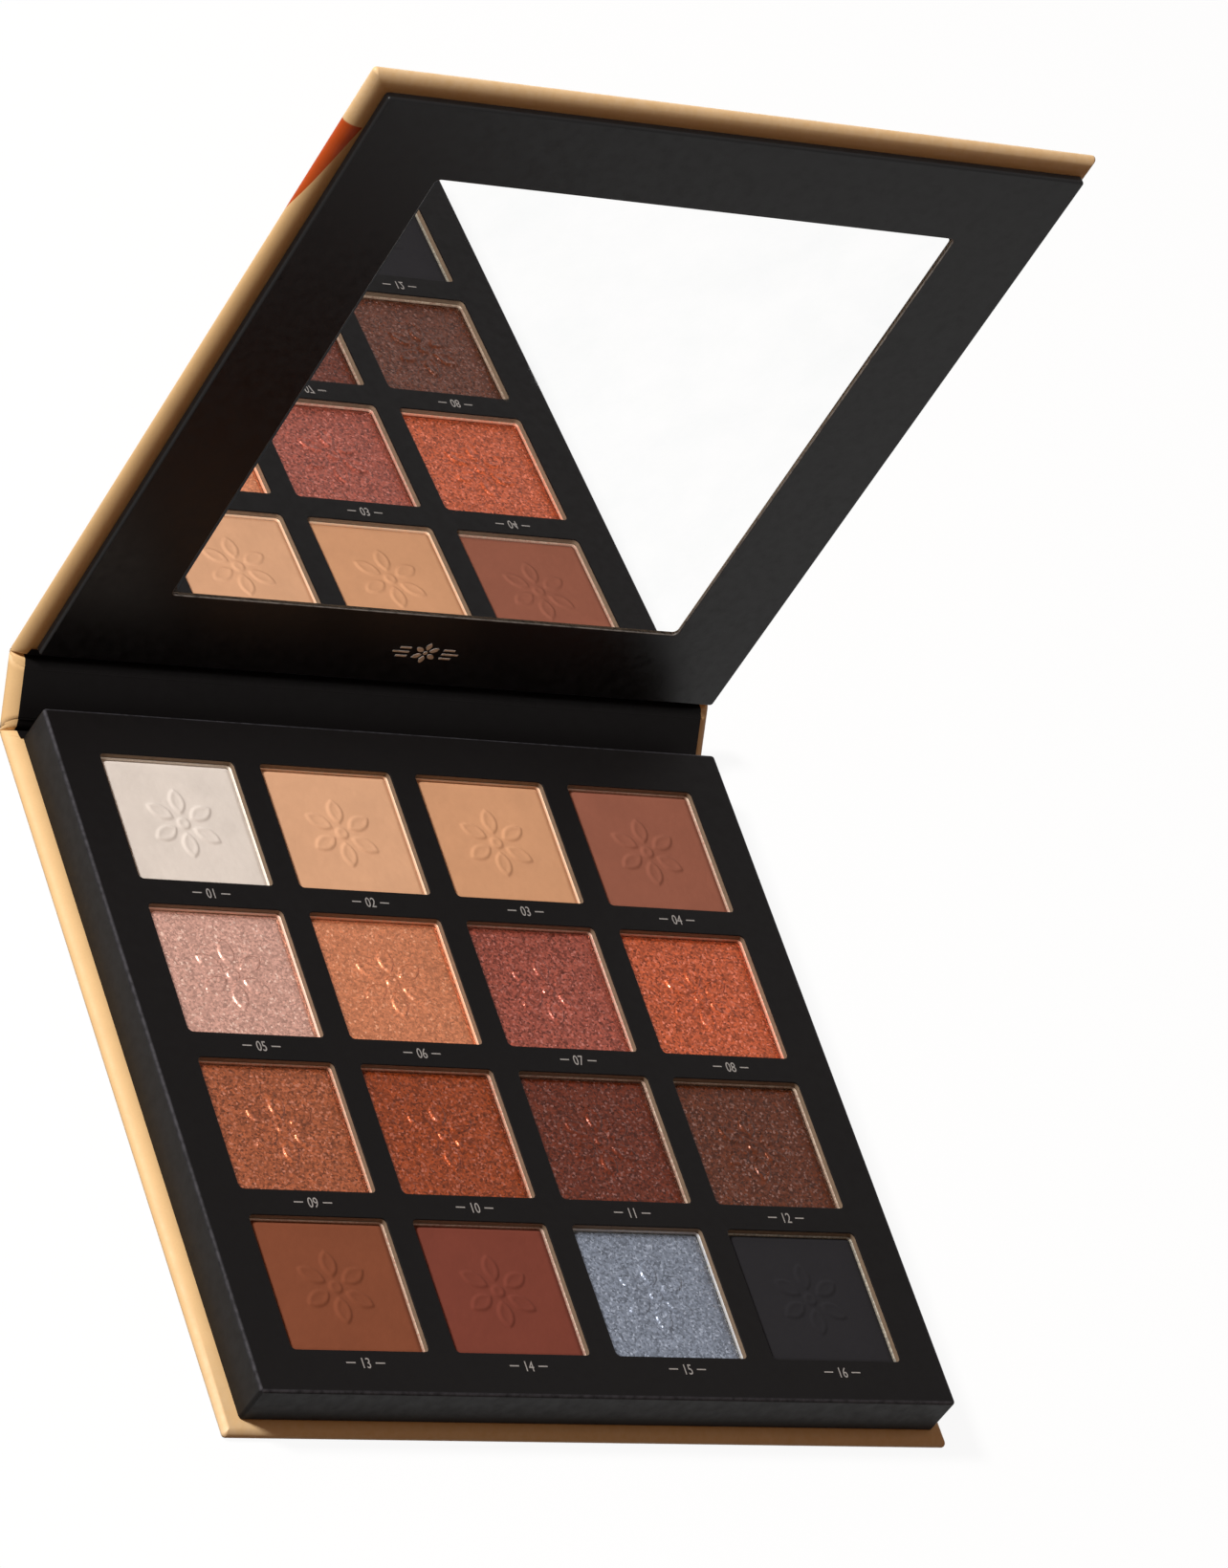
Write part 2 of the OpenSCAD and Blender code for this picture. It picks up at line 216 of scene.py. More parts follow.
# Pieces of the lid, which the main lamp shines past
LID_NODES = frame["record"]["behaviour"]["bodies"]["lid"]
LID_PIECES = ("lid_cover", "lid_core", "panel_cover", "mirror_plate", "lid_mark")

# Colours as they look in daylight
TAN = "#d9b481"
TAN_WORN = "#efe0c6"
BLACK = "#110f0f"
# Grey-blue rub on black paper; on the tray's top edges it is also a painted highlight
BLACK_RUB_AND_HIGHLIGHT = "#4a494e"
BOARD = "#75624f"
PANEL_CORE = "#85807b"
MIRROR_FACE = "#ffffff"
MIRROR_SMEAR = "#fafbfb"
MIRROR_BACK = "#1b1c1e"
ORANGE = "#b24506"
TIN = "#d8ccb4"
STEEL = "#b9bbbd"
GLUE = "#e9e2cf"
INK = "#918d8a"
WHITE_INK = "#f4f2ef"

# Powders, row by row: colour and kind
SHADES = (
    ("#ccc3bb", "matte"), ("#c69877", "matte"), ("#bd8c69", "matte"), ("#855140", "matte"),
    ("#cd9c8c", "satin"), ("#cb7d57", "satin"), ("#914636", "shimmer"), ("#ad4e2a", "shimmer"),
    ("#995130", "shimmer"), ("#8a3a13", "shimmer"), ("#5b1f04", "shimmer"), ("#522104", "shimmer"),
    ("#76422c", "matte"), ("#6d372b", "matte"), ("#767d8b", "glitter"), ("#1e1d20", "matte"),
)

# Flakes of a powder: how much their tone differs, how askew they lie, and which share flashes
GRAIN = {"satin": (0.45, 0.3, 0.08), "shimmer": (0.75, 0.42, 0.14), "glitter": (0.6, 0.5, 0.16)}
FLAKES = 3200
POWDER_SEED = 0.37
RIM_SEED = 0.53

# Faces of the powders: mesh steps, height of the grain, softness and height of the rosette; its dish
MATTE_FACE = (120, 0.018 * MM, 0.24 * MM, ROSETTE_H)
SHIMMER_FACE = (160, 0.02 * MM, 0.16 * MM, 1.45 * ROSETTE_H)
GRAIN_SCALE = 900
WAVE_SCALE = 160
WAVE_H = 0.03 * MM
NOISE_PITCH = 31 * MM
DISH_SHARE = 0.35
DISH_FROM = 0.3 * MM
DISH_TO = 0.9 * MM


def linear(code, gain=1.0):
    """Linear colour of a hex code, made lighter or darker by a gain."""
    values = [int(code[k:k + 2], 16) / 255 for k in (1, 3, 5)]
    values = [v / 12.92 if v <= 0.04045 else ((v + 0.055) / 1.055) ** 2.4 for v in values]
    return (*[min(1.0, v * gain) for v in values], 1.0)


def paler(code, gain, lift):
    """Linear colour of a hex code, made lighter by a gain and lifted towards white."""
    return (*[min(1.0, gain * part + lift) for part in linear(code)[:3]], 1.0)


def clamp(value, low=0.0, high=1.0):
    """Value kept between two limits."""
    return max(low, min(high, value))


def smooth(low, high, value):
    """Smooth step from 0 at low to 1 at high."""
    t = clamp((value - low) / (high - low))
    return t * t * (3 - 2 * t)


def quarter(steps, first=0):
    """Angles of a quarter turn in even steps."""
    return [math.radians(90 * k / steps) for k in range(first, steps + 1)]


def numbered(kind, i):
    """Name of the node, slot or piece of a kind that belongs to one pan."""
    return f"{kind}_{i + 1:02d}"


def pan_middle(i):
    """Middle of a pan, and the height of its edge."""
    low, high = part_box(numbered("pan", i))
    return (low + high) / 2, high.z


class Shade:
    """A material's node tree, with short ways to add and wire its nodes."""

    def __init__(self, name):
        self.material = bpy.data.materials.new(name)
        self.material.use_nodes = True
        self.tree = self.material.node_tree
        self.surface = self.tree.nodes["Principled BSDF"]
        self.where = self.add("TexCoord").outputs["Object"]

    def add(self, kind, settings=(), inputs=()):
        """New node with its settings made and its inputs fed."""
        node = self.tree.nodes.new("ShaderNode" + kind)
        for key, value in dict(settings).items():
            setattr(node, key, value)
        for key, value in dict(inputs).items():
            self.feed(node, key, value)
        return node

    def feed(self, node, key, value):
        """Wires a socket to an input, or sets the input's value."""
        if isinstance(value, bpy.types.NodeSocket):
            self.tree.links.new(value, node.inputs[key])
        else:
            node.inputs[key].default_value = value

    def noise(self, scale, detail=3.0, rough=0.55, where=None):
        inputs = {"Vector": where or self.where, "Scale": scale, "Detail": detail, "Roughness": rough}
        return self.add("TexNoise", inputs=inputs).outputs["Fac"]

    def cells(self, scale, where=None):
        return self.add("TexVoronoi", inputs={"Vector": where or self.where, "Scale": scale})

    def math(self, operation, first, second=0.0):
        return self.add("Math", {"operation": operation}, {0: first, 1: second}).outputs[0]

    def vector(self, operation, first, second=(0.0, 0.0, 0.0), output=0):
        return self.add("VectorMath", {"operation": operation}, {0: first, 1: second}).outputs[output]

    def moved(self, seed):
        """Place in a texture that is another one for each seed."""
        return self.vector("ADD", self.where, (seed, 0.3 * seed, 0.0))

    def span(self, value, low, high, to_low=0.0, to_high=1.0):
        inputs = {0: value, 1: low, 2: high, 3: to_low, 4: to_high}
        return self.add("MapRange", {"clamp": True}, inputs).outputs[0]

    def mix(self, share, first, second):
        return self.add("Mix", {"data_type": "RGBA"}, {0: share, 6: first, 7: second}).outputs[2]

    def stretch(self, scale, where=None):
        return self.add("Mapping", inputs={"Vector": where or self.where, "Scale": scale}).outputs[0]

    def bump(self, height, distance, strength, normal=None):
        inputs = {"Height": height, "Distance": distance, "Strength": strength}
        if normal is not None:
            inputs["Normal"] = normal
        return self.add("Bump", inputs=inputs).outputs[0]

    def paint(self, **inputs):
        """Feeds the surface's inputs, with _ for a space, and returns the material."""
        for key, value in inputs.items():
            self.feed(self.surface, key.replace("_", " "), value)
        return self.material


def paper(name, colour, edge_tone_and_highlight, gloss, rough, band=None):
    """Covering paper: mottled, fibrous, a little rubbed along its folded edges; on the tray's black paper the rub
    colour is also a painted highlight.
    """
    shade = Shade(name)
    mottle = shade.noise(scale=220, detail=4)
    fibre = shade.noise(scale=3600, detail=3, rough=0.7)
    tone = shade.mix(shade.span(mottle, 0.3, 0.7), linear(colour, 0.96), linear(colour, 1.03))
    tone = shade.mix(shade.span(fibre, 0.25, 0.75, 0.0, 0.16), tone, linear(colour, 0.6))
    rub_and_highlight = shade.add("Attribute", {"attribute_name": "wear"}).outputs["Fac"]
    rub_and_highlight = shade.math("MULTIPLY", rub_and_highlight, shade.span(shade.noise(scale=900, detail=5), 0.2, 0.6))
    # Rub colour along the edges, on the tray's black paper also a painted highlight
    tone = shade.mix(shade.math("MULTIPLY", rub_and_highlight, 0.85), tone, linear(edge_tone_and_highlight))
    if band is not None:
        tone = shade.mix(band(shade), tone, shade.mix(mottle, linear(ORANGE, 0.85), linear(ORANGE, 1.15)))
    roughness = shade.span(shade.noise(scale=700, detail=4), 0.3, 0.7, rough - 0.07, rough + 0.07)
    normal = shade.bump(fibre, 0.012 * MM, 0.6, shade.bump(mottle, 0.03 * MM, 0.3))
    return shade.paint(Base_Color=tone, Roughness=roughness, Specular_IOR_Level=gloss, Normal=normal)


def orange_band(shade):
    """Share of orange on the lid's wrap: a plain band that narrows where it comes round the edges."""
    along = LID_FRAME.to_3x3() @ Vector((0, 1, 0))
    inward = LID_FRAME.to_3x3() @ Vector((0, 0, 1))
    place = shade.vector("SUBTRACT", shade.where, LID_FRAME.translation)
    height = shade.vector("DOT_PRODUCT", place, along, "Value")
    depth = shade.vector("DOT_PRODUCT", place, inward, "Value")
    across = shade.add("SeparateXYZ", inputs={0: place}).outputs[0]
    inset = shade.math("SUBTRACT", CASE_W / 2, shade.math("ABSOLUTE", across))
    inset = shade.math("MULTIPLY", inset, shade.span(depth, INNER_N - SOFT_H, INNER_N))
    reach = shade.math("ADD", inset, shade.math("ADD", depth, CREASE_R))
    low = shade.math("SUBTRACT", height, shade.math("MULTIPLY", reach, BAND_TAPER))
    above = shade.span(low, BAND_LOW, BAND_LOW + BAND_BLUR)
    below = shade.span(height, BAND_HIGH - BAND_BLUR, BAND_HIGH, 1.0, 0.0)
    return shade.math("MULTIPLY", above, below)


def board(name):
    """Cut edge of grey-brown board, with its layers."""
    shade = Shade(name)
    layers = shade.noise(scale=900, detail=4, rough=0.6, where=shade.stretch((1.0, 1.0, 7.0)))
    fibre = shade.noise(scale=3000)
    tone = shade.mix(shade.span(layers, 0.3, 0.7), linear(BOARD, 0.72), linear(BOARD, 1.2))
    normal = shade.bump(fibre, 0.03 * MM, 0.7)
    return shade.paint(Base_Color=tone, Roughness=shade.span(fibre, 0.3, 0.7, 0.8, 0.95), Normal=normal)


def metal(name, colour, rough):
    """Thin sheet metal, faintly brushed and stained."""
    shade = Shade(name)
    lines = shade.noise(scale=5000, rough=0.6, where=shade.stretch((0.12, 1.0, 1.0)))
    stain = shade.noise(scale=300, detail=4)
    tone = shade.mix(shade.span(stain, 0.3, 0.7), linear(colour, 0.85), linear(colour, 1.05))
    roughness = shade.span(lines, 0.3, 0.7, rough - 0.08, rough + 0.1)
    normal = shade.bump(lines, 0.006 * MM, 0.5)
    return shade.paint(Base_Color=tone, Metallic=1.0, Roughness=roughness, Normal=normal)


def dusted_rim(name, colour, seed):
    """Dull tin rim with some of its powder on it."""
    shade = Shade(name)
    grain = shade.noise(scale=2600, detail=4, rough=0.7, where=shade.moved(seed))
    dust = shade.span(grain, 0.3, 0.7, 0.35, 0.95)
    tone = shade.mix(dust, linear(TIN, 0.8), paler(colour, 1.35, 0.03))
    normal = shade.bump(grain, 0.03 * MM, 0.6)
    roughness = shade.span(grain, 0.3, 0.7, 0.4, 0.65)
    return shade.paint(Base_Color=tone, Metallic=0.15, Roughness=roughness, Normal=normal)


def plain_film(name, colour, rough):
    """Glue, or the back of the mirror: a soft film with small bubbles."""
    shade = Shade(name)
    bubbles = shade.noise(scale=1500)
    tone = shade.mix(bubbles, linear(colour, 0.9), linear(colour, 1.05))
    normal = shade.bump(bubbles, 0.02 * MM, 0.4)
    return shade.paint(Base_Color=tone, Roughness=rough, Normal=normal)


def mirror_face(name):
    """Silvered glass with the faintest smears."""
    shade = Shade(name)
    smear = shade.noise(scale=60, detail=5, rough=0.65)
    tone = shade.mix(shade.span(smear, 0.35, 0.75), linear(MIRROR_FACE), linear(MIRROR_SMEAR))
    roughness = shade.span(smear, 0.5, 0.8, 0.0, 0.035)
    return shade.paint(Base_Color=tone, Metallic=1.0, Roughness=roughness)


def matte_powder(name, colour, seed):
    """Pressed matte powder: chalky, finely grained, a little uneven."""
    shade = Shade(name)
    place = shade.moved(seed)
    cloud = shade.noise(scale=190, detail=4, where=place)
    grain = shade.noise(scale=7000, detail=2, rough=0.6, where=place)
    streak = shade.noise(scale=420, rough=0.5, where=shade.stretch((1.0, 0.14, 1.0), place))
    tone = shade.mix(shade.span(cloud, 0.3, 0.7), linear(colour, 0.95), linear(colour, 1.05))
    tone = shade.mix(shade.span(grain, 0.3, 0.75, 0.0, 0.12), tone, linear(colour, 1.25))
    normal = shade.bump(grain, 0.012 * MM, 0.5, shade.bump(streak, 0.03 * MM, 0.4))
    return shade.paint(Base_Color=tone, Roughness=0.9, Specular_IOR_Level=0.18, Normal=normal)


def shimmer_powder(name, colour, seed, depth, tilt, spark):
    """Pressed shimmer: flakes that lie askew and differ in tone by a depth, and a few that flash."""
    shade = Shade(name)
    place = shade.moved(seed)
    flakes = shade.cells(FLAKES, place)
    fine = shade.cells(1.9 * FLAKES, place)
    pick = shade.add("SeparateColor", inputs={0: flakes.outputs["Color"]})
    small = shade.add("SeparateColor", inputs={0: fine.outputs["Color"]})
    cloud = shade.noise(scale=240, detail=4, rough=0.6, where=place)
    tone = shade.mix(pick.outputs[0], linear(colour, 1 - depth), linear(colour, 1 + 1.1 * depth))
    tone = shade.mix(shade.span(small.outputs[0], 0.0, 1.0, 0.0, 0.45), tone, linear(colour, 0.6))
    tone = shade.mix(shade.span(cloud, 0.3, 0.7, 0.0, 0.2), tone, linear(colour, 0.75))
    bright = shade.span(pick.outputs[1], 1.0 - spark, 1.0)
    tone = shade.mix(shade.math("MULTIPLY", bright, 0.8), tone, paler(colour, 1.8, 0.1))
    lean = shade.mix(0.4, flakes.outputs["Color"], fine.outputs["Color"])
    lean = shade.vector("SUBTRACT", lean, (0.5, 0.5, 0.5))
    lean = shade.add("VectorMath", {"operation": "SCALE"}, {0: lean, "Scale": tilt}).outputs[0]
    upright = shade.add("NewGeometry").outputs["Normal"]
    normal = shade.vector("NORMALIZE", shade.vector("ADD", upright, lean))
    roughness = shade.span(pick.outputs[2], 0.0, 1.0, 0.24, 0.42)
    return shade.paint(Base_Color=tone, Metallic=0.6, Roughness=roughness, Normal=normal)


def ink(name, colour):
    """Thin printed ink, broken up a little by the paper under it."""
    shade = Shade(name)
    gaps = shade.noise(scale=5000)
    tone = shade.mix(shade.span(gaps, 0.3, 0.6), linear(colour, 0.7), linear(colour))
    normal = shade.bump(gaps, 0.01 * MM, 0.4)
    return shade.paint(Base_Color=tone, Roughness=0.5, Normal=normal)


MATERIALS = {
    "tan_paper": paper("tan_paper", TAN, TAN_WORN, gloss=0.35, rough=0.52),
    "lid_paper": paper("lid_paper", TAN, TAN_WORN, gloss=0.35, rough=0.52, band=orange_band),
    "black_paper": paper("black_paper", BLACK, BLACK_RUB_AND_HIGHLIGHT, gloss=0.06, rough=0.5),
    "wall_paper": paper("wall_paper", BLACK, BLACK_RUB_AND_HIGHLIGHT, gloss=0.1, rough=0.42),
    "panel_paper": paper("panel_paper", BLACK, PANEL_CORE, gloss=0.18, rough=0.38),
    "greyboard": board("greyboard"),
    "tinplate": metal("tinplate", TIN, rough=0.34),
    "steel": metal("steel", STEEL, rough=0.3),
    "glue": plain_film("glue", GLUE, rough=0.6),
    "mirror": mirror_face("mirror"),
    "mirror_back": plain_film("mirror_back", MIRROR_BACK, rough=0.55),
    "ink": ink("ink", INK),
    "white_ink": ink("white_ink", WHITE_INK),
}


def finish_piece(name, mesh, body, slot, place=WORLD_FRAME, material=None, wear=None, sharp=40, solid=0.0):
    """Wraps up a mesh made in its own frame: rubbed edges (on the tray also a painted highlight), place, material,
    smoothness, thickness and body.
    """
    if wear is not None:
        layer = mesh.attributes.new("wear", "FLOAT", "POINT")
        layer.data.foreach_set("value", [wear(v.co) for v in mesh.vertices])
    mesh.transform(place)
    mesh.materials.append(material or MATERIALS[slot])
    mesh.polygons.foreach_set("use_smooth", [True] * len(mesh.polygons))
    mesh.set_sharp_from_angle(angle=math.radians(sharp))
    piece = bpy.data.objects.new(name, mesh)
    bpy.context.scene.collection.objects.link(piece)
    if solid:
        sheet = piece.modifiers.new("thickness", "SOLIDIFY")
        sheet.thickness = solid
        sheet.offset = -1.0
        sheet.use_even_offset = True
        even = piece.modifiers.new("even_normals", "WEIGHTED_NORMAL")
        even.keep_sharp = True
    if body:
        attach(piece, body)
    return piece


def mesh_of(name, points, faces):
    """Mesh from points and faces, with doubled points welded and normals outward."""
    mesh = bpy.data.meshes.new(name)
    mesh.from_pydata(points, [], faces)
    work = bmesh.new()
    work.from_mesh(mesh)
    bmesh.ops.remove_doubles(work, verts=work.verts, dist=WELD)
    bmesh.ops.recalc_face_normals(work, faces=work.faces)
    work.to_mesh(mesh)
    work.free()
    return mesh


def tube_faces(rings, count, start=0, joined=False):
    """Faces between rings of as many points, and from the last to the first if they are joined."""
    faces = []
    for j in range(rings if joined else rings - 1):
        a, b = start + j * count, start + (j + 1) % rings * count
        for k in range(count):
            n = (k + 1) % count
            faces.append((a + k, a + n, b + n, b + k))
    return faces


def end_faces(rings, count, start=0):
    """Faces that close the first and the last ring of a tube."""
    last = start + (rings - 1) * count
    return [[start + k for k in reversed(range(count))], [last + k for k in range(count)]]


def closed_tube(name, points, rings):
    """Mesh of a tube with closed ends, from the points of its rings."""
    count = len(points) // rings
    return mesh_of(name, points, tube_faces(rings, count) + end_faces(rings, count))


def sheet_faces(lines, count):
    """Faces of a sheet between open lines of as many points each."""
    faces = []
    for k in range(lines - 1):
        for j in range(count - 1):
            a, b = k * count + j, (k + 1) * count + j
            faces.append((a, a + 1, b + 1, b))
    return faces


def arc_loop(w, d, r, steps=CORNER_STEPS):
    """Points of a rectangle with round corners, counter-clockwise from the front right."""
    points = []
    for sx, sy, start in CORNERS:
        for k in range(steps + 1):
            turn = math.radians(start + 90 * k / steps)
            points.append((sx * (w / 2 - r) + r * math.cos(turn), sy * (d / 2 - r) + r * math.sin(turn)))
    return points


def cell_loop(cell, window):
    """Points on a cell's border, each facing a point of the window in the cell."""
    x0, x1, y0, y1 = cell["box"]
    cx, cy = cell["centre"]
    w, d, r = window
    ends_x = {1: cx + w / 2 - r, -1: cx - w / 2 + r}
    ends_y = {1: cy + d / 2 - r, -1: cy - d / 2 + r}
    points = []
    for sx, sy, start in CORNERS:
        corner = (x1 if sx > 0 else x0, y1 if sy > 0 else y0)
        on_x = (ends_x[sx], corner[1])
        on_y = (corner[0], ends_y[sy])
        first, last = (on_x, on_y) if sx * sy < 0 else (on_y, on_x)
        round_r = cell["corners"].get((sx, sy), 0.0)
        for k in range(CORNER_STEPS + 1):
            t = k / CORNER_STEPS
            if round_r and 0 < k < CORNER_STEPS:
                turn = math.radians(start + 90 * (k - 1) / (CORNER_STEPS - 2))
                mid = (corner[0] - sx * round_r, corner[1] - sy * round_r)
                points.append((mid[0] + round_r * math.cos(turn), mid[1] + round_r * math.sin(turn)))
                continue
            a, b = (first, corner) if t <= 0.5 else (corner, last)
            s = 2 * t if t <= 0.5 else 2 * t - 1
            points.append((a[0] + s * (b[0] - a[0]), a[1] + s * (b[1] - a[1])))
    return points


def fold_down(work, size, edge_r, corner_r):
    """Folds the border of a flat sheet over the soft edges of its box and down to z = 0."""
    w, d, h = size
    core_x, core_y = w / 2 - corner_r, d / 2 - corner_r
    rim = [e for e in work.edges if e.is_boundary and all(abs(v.co.z - h) < SAME_LEVEL for v in e.verts)]
    rest = {}
    for e in rim:
        for v in e.verts:
            core = Vector((clamp(v.co.x, -core_x, core_x), clamp(v.co.y, -core_y, core_y), v.co.z))
            rest[v] = (v.co.copy(), (v.co - core).normalized())
    profile = [(edge_r * math.sin(t), edge_r * (1 - math.cos(t))) for t in quarter(EDGE_STEPS, 1)]
    for out, drop in profile + [(edge_r, h)]:
        grown = bmesh.ops.extrude_edge_only(work, edges=rim)["geom"]
        rim = [g for g in grown if isinstance(g, bmesh.types.BMEdge)]
        fresh = {}
        for v in {v for e in rim for v in e.verts}:
            old = next(e.other_vert(v) for e in v.link_edges if e.other_vert(v) in rest)
            point, away = rest[old]
            v.co = point + away * out - Vector((0, 0, drop))
            fresh[v] = (point, away)
        rest = fresh


def windowed_skin(name, size, cells, window, edge_r, corner_r, lip_r, lip_depth):
    """Paper over a low box with windows: an open sheet with soft edges, from z = 0 up."""
    h = size[2]
    lip = [(lip_r * (1 - math.sin(t)), -lip_r * (1 - math.cos(t))) for t in quarter(LIP_STEPS)]
    lip.append((0.0, -lip_depth))
    points, faces = [], []
    for cell in cells:
        cx, cy = cell["centre"]
        rings = [[(x, y, h) for x, y in cell_loop(cell, window)]]
        for out, drop in lip:
            loop = arc_loop(window[0] + 2 * out, window[1] + 2 * out, window[2] + out)
            rings.append([(cx + x, cy + y, h + drop) for x, y in loop])
        faces += tube_faces(len(rings), len(rings[0]), len(points))
        points += [p for ring in rings for p in ring]
    work = bmesh.new()
    made = [work.verts.new(p) for p in points]
    for face in faces:
        if len({tuple(round(c, 9) for c in points[i]) for i in face}) > 2:
            work.faces.new([made[i] for i in face])
    bmesh.ops.remove_doubles(work, verts=work.verts, dist=SKIN_WELD)
    fold_down(work, size, edge_r, corner_r)
    bmesh.ops.recalc_face_normals(work, faces=work.faces)
    mesh = bpy.data.meshes.new(name)
    work.to_mesh(mesh)
    work.free()
    return mesh


def tray_rub_and_highlight(co):
    """Rub along the rounded top edges of the tray, most at its corners; its grey-blue colour also stands as a
    painted highlight on those edges.
    """
    from_x, from_y = tray_size.x / 2 - abs(co.x), tray_size.y / 2 - abs(co.y)
    edge = clamp((1 - (min(from_x, from_y) + tray_size.z - co.z) / TRAY_EDGE_R) / TRAY_RUB_AND_HIGHLIGHT_FULL)
    corner = clamp(1 - math.hypot(from_x, from_y) / TRAY_RUB_AND_HIGHLIGHT_CORNER)
    return edge * (0.7 + 0.3 * corner)


def make_tray_skin():
    """Black paper over the tray, with a window for every pan and glossier walls."""
    w, d, h = tray_size
    inner_w, inner_d = w / 2 - TRAY_EDGE_R, d / 2 - TRAY_EDGE_R
    half_pitch = (pan_middle(1)[0].x - pan_middle(0)[0].x) / 2
    cells = []
    for i in range(PANS):
        cx, cy = (pan_middle(i)[0] - tray_mid).to_2d()
        left, right = i % PAN_COLS == 0, i % PAN_COLS == PAN_COLS - 1
        back, front = i // PAN_COLS == 0, i // PAN_COLS == PAN_ROWS - 1
        box = (-inner_w if left else cx - half_pitch, inner_w if right else cx + half_pitch,
               -inner_d if front else cy - half_pitch, inner_d if back else cy + half_pitch)
        corners = {}
        if (left or right) and (back or front):
            corners[(-1 if left else 1, 1 if back else -1)] = TRAY_CORNER_R - TRAY_EDGE_R
        cells.append({"box": box, "centre": (cx, cy), "corners": corners})
    mesh = windowed_skin("tray_cover", tray_size, cells, (WINDOW, WINDOW, WINDOW_R),
                         TRAY_EDGE_R, TRAY_CORNER_R, LIP_R, SKIN_T)
    for face in mesh.polygons:
        steep = abs(face.normal.z) < STEEP
        face.material_index = 1 if steep and face.center.z < h - WALL_FROM else 0
    place = Matrix.Translation((tray_mid.x, tray_mid.y, tray_low.z))
    # The rub along the tray's top edges is also a painted highlight
    piece = finish_piece("tray_cover", mesh, "base", "black_paper", place, wear=tray_rub_and_highlight,
                         solid=SHEET_SHARE * SKIN_T)
    piece.data.materials.append(MATERIALS["wall_paper"])
    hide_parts("tray_skin")


def local_box(node, place):
    """Lowest and highest corner of a node in a board's own frame."""
    back = place.inverted()
    points = [back @ v.co for v in nodes[node].data.vertices]
    low = Vector([min(p[k] for p in points) for k in range(3)])
    high = Vector([max(p[k] for p in points) for k in range(3)])
    return low, high


def make_panel_skin():
    """Black paper over the mirror panel, with the window for the mirror."""
    low, high = local_box("panel_skin", LID_FRAME)
    glass_low, glass_high = local_box("mirror_glass", LID_FRAME)
    size = high - low
    mid = (low + high) / 2
    lap = Vector((MIRROR_LAP, MIRROR_LAP, 0))
    glass_low, glass_high = glass_low + lap, glass_high - lap
    centre = ((glass_low + glass_high) / 2 - mid).to_2d()
    window = (glass_high.x - glass_low.x, glass_high.y - glass_low.y, MIRROR_R)
    inner_w, inner_d = size.x / 2 - PANEL_EDGE_R, size.y / 2 - PANEL_EDGE_R
    corners = {(sx, sy): TRAY_CORNER_R - PANEL_EDGE_R for sx in (-1, 1) for sy in (-1, 1)}
    cell = {"box": (-inner_w, inner_w, -inner_d, inner_d), "centre": tuple(centre), "corners": corners}
    mesh = windowed_skin("panel_cover", size, [cell], window, PANEL_EDGE_R, TRAY_CORNER_R, PANEL_LIP_R,
                         high.z - glass_high.z - PANEL_LIP_CLEAR)

    def cut_edge(co):
        """Pale core of the paper where the window is cut out of it."""
        out = max(abs(co.x - centre.x) - window[0] / 2, abs(co.y - centre.y) - window[1] / 2)
        drop = (size.z - co.z) / PANEL_LIP_R
        return 1.0 if out < 2 * PANEL_LIP_R and 0.05 < drop < 0.7 else 0.0

    place = LID_FRAME @ Matrix.Translation((mid.x, mid.y, low.z))
    piece = finish_piece("panel_cover", mesh, "lid", "black_paper", place, MATERIALS["panel_paper"],
                         cut_edge, solid=SHEET_SHARE * SKIN_T)
    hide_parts("panel_skin")


def make_mirror():
    """Mirror in the panel's window, nearly flush, with a dark gap round it and a slight tilt."""
    low, high = local_box("mirror_glass", LID_FRAME)
    face = local_box("panel_skin", LID_FRAME)[1].z - MIRROR_SINK
    mid = (low + high) / 2
    w, d = high.x - low.x, high.y - low.y
    inset = 2 * (MIRROR_LAP + MIRROR_FIT)
    flange = arc_loop(w, d, MIRROR_R)
    loop = [(x, y + MIRROR_SHIFT) for x, y in arc_loop(w - inset, d - inset, MIRROR_R)]
    foot, step = low.z - face, high.z - face
    points = [(x, y, foot) for x, y in flange] + [(x, y, step) for x, y in flange]
    points += [(x, y, step) for x, y in loop] + [(x, y, y * math.tan(MIRROR_TILT)) for x, y in loop]
    mesh = closed_tube("mirror_plate", points, 4)
    for side in mesh.polygons:
        is_face = side.normal.z > 0.9 and side.center.z > step / 2
        side.material_index = 0 if is_face else 1
    place = LID_FRAME @ Matrix.Translation((mid.x, mid.y, face))
    piece = finish_piece("mirror_plate", mesh, "lid", "mirror", place, sharp=10)
    piece.data.materials.append(MATERIALS["mirror_back"])
    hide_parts("mirror_glass")


def fold_start(n):
    """Distance from the fold axis at which a covered board begins, at height n over that axis."""
    bare = CREASE_R + CREASE_FIT
    room = math.sqrt(max(0.0, bare * bare - n * n))
    return max(room, n + MITRE_STEP)


def edge_profile():
    """Inset and height along the wrapped edge of a board, from outer to inner face."""
    points = [(TURN_IN, -CREASE_R), (3 * EDGE_R, -CREASE_R)]
    for turn in quarter(SIDE_STEPS):
        points.append((EDGE_R * (1 - math.sin(turn)), -CREASE_R + EDGE_R * (1 - math.cos(turn))))
    for turn in quarter(SOFT_STEPS):
        side, face = math.cos(turn) ** (2 / SOFT_FULL), math.sin(turn) ** (2 / SOFT_FULL)
        points.append((SOFT_W * (1 - side), INNER_N - SOFT_H * (1 - face)))
    return points + [(2 * SOFT_W, INNER_N), (TURN_IN, INNER_N)]


def core_profile():
    """Inset and height along the edge of a bare board, one paper inside its wrap."""
    points = [(s + WRAP_T, clamp(n, WRAP_T - CREASE_R, INNER_N - WRAP_T)) for s, n in edge_profile()[2:-2]]
    return [p for k, p in enumerate(points) if k == 0 or p != points[k - 1]]


